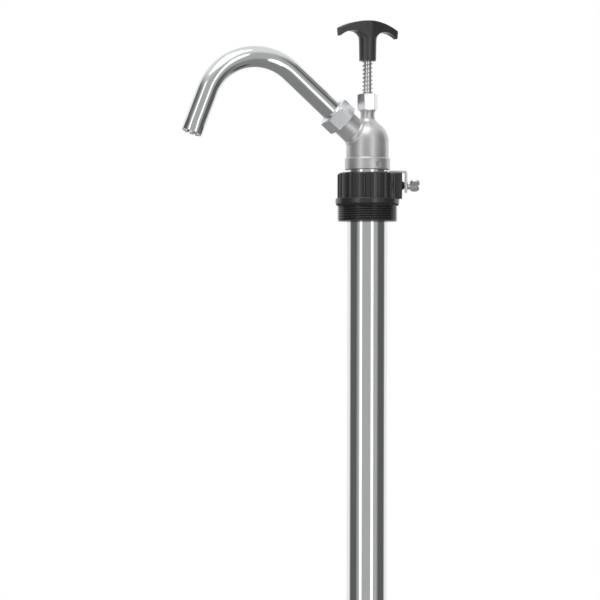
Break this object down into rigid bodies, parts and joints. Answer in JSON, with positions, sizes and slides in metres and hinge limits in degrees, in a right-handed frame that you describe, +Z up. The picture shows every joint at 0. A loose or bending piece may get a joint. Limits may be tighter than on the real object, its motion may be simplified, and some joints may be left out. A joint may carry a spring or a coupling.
{
  "type": "lift-action drum pump",
  "caption": "Hand lift pump for a drum: T-handle and sprung rod, cast head with curved swivel spout, threaded bung collar with clamp screw, long plated barrel and foot valve",
  "frame": {"origin": "centre of the face where the bung collar seats on the drum, on the pump's axis", "axes": "+Z up along the pump's axis to the handle; the spout leaves towards -X"},
  "size_m": [0.2438, 0.0632, 1.0384],
  "materials": {
    "barrel_chrome": "bright plated",
    "spout_chrome": "bright plated",
    "cast_alloy": "as cast, matt",
    "zinc_nut": "zinc plated, turned",
    "zinc_strip": "zinc plated",
    "black_plastic": "moulded, satin",
    "handle_plastic": "moulded, satin",
    "white_nylon": "moulded",
    "grey_plastic": "moulded",
    "black_rubber": "moulded",
    "bright_steel": "ground",
    "spring_steel": "drawn wire",
    "brass": "turned"
  },
  "bodies": {
    "collar": {"bung_collar": "black_plastic", "bung_gasket": "black_rubber", "clamp_clip": "zinc_strip"},
    "collar_ring": {"collar_seal": "black_rubber"},
    "barrel": {"barrel_tube": "barrel_chrome", "tube_seal": "black_rubber", "pump_head": "cast_alloy", "head_set_screw": "bright_steel", "gland_follower": "brass", "gland_nut": "zinc_nut", "union_nut": "zinc_nut", "bumper_spring": "spring_steel", "foot_body": "grey_plastic", "foot_pin": "bright_steel", "foot_o_ring": "black_rubber", "foot_strainer": "zinc_strip", "foot_screws": "zinc_strip"},
    "spout_assembly": {"spout": "spout_chrome", "spout_ferrule": "brass", "spout_gasket": "black_rubber"},
    "packing": {"gland_packing": "black_rubber"},
    "bumper_washer": {"spring_washer": "zinc_strip"},
    "rod_assembly": {"pump_rod": "bright_steel", "handle_insert": "brass", "t_handle": "handle_plastic", "piston_body": "white_nylon", "piston_cup": "black_rubber", "cup_retainer": "zinc_strip", "valve_stop_ring": "zinc_strip", "piston_washer": "zinc_strip", "piston_nut": "zinc_nut"},
    "piston_valve_disc": {"piston_valve": "black_rubber"},
    "foot_valve_ball": {"foot_ball": "bright_steel"},
    "clamp_tip": {"clamp_slug": "white_nylon"},
    "wing_screw": {"clamp_screw": "zinc_nut"}
  },
  "joints": [
    {"name": "barrel_turn", "type": "hinge", "parent": "collar", "child": "collar_ring", "pos_m": [0, 0, 0], "axis": [0, 0, 1], "continuous": true},
    {"name": "barrel_slide", "type": "slide", "parent": "collar_ring", "child": "barrel", "axis": [0, 0, 1], "range_m": [0, 0.78]},
    {"name": "spout_swivel", "type": "hinge", "parent": "barrel", "child": "spout_assembly", "pos_m": [0, 0, 0.05995], "axis": [-0.7581, 0, 0.6521], "range_deg": [-90, 90]},
    {"name": "rod_spin", "type": "hinge", "parent": "barrel", "child": "packing", "pos_m": [0, 0, 0.09], "axis": [0, 0, 1], "continuous": true},
    {"name": "bumper_press", "type": "slide", "parent": "packing", "child": "bumper_washer", "axis": [0, 0, 1], "range_m": [-0.01, 0], "stiffness_N_per_m": 1300, "springref_m": 0.0042, "deforming": ["bumper_spring"]},
    {"name": "pump_stroke", "type": "slide", "parent": "bumper_washer", "child": "rod_assembly", "axis": [0, 0, 1], "range_m": [0, 0.78]},
    {"name": "piston_valve_lift", "type": "slide", "parent": "rod_assembly", "child": "piston_valve_disc", "axis": [0, 0, 1], "range_m": [0, 0.0045]},
    {"name": "foot_ball_lift", "type": "slide", "parent": "barrel", "child": "foot_valve_ball", "axis": [0, 0, 1], "range_m": [0, 0.005]},
    {"name": "clamp_advance", "type": "slide", "parent": "collar", "child": "clamp_tip", "axis": [0.9336, -0.3584, 0], "range_m": [0, 0.003]},
    {"name": "clamp_turn", "type": "hinge", "parent": "clamp_tip", "child": "wing_screw", "pos_m": [0, 0, 0.0198], "axis": [0.9336, -0.3584, 0], "range_deg": [0, 1080]}
  ],
  "couplings": [
    {"joint": "clamp_turn", "follows": "clamp_advance", "rad_per_m": 6283.2}
  ]
}
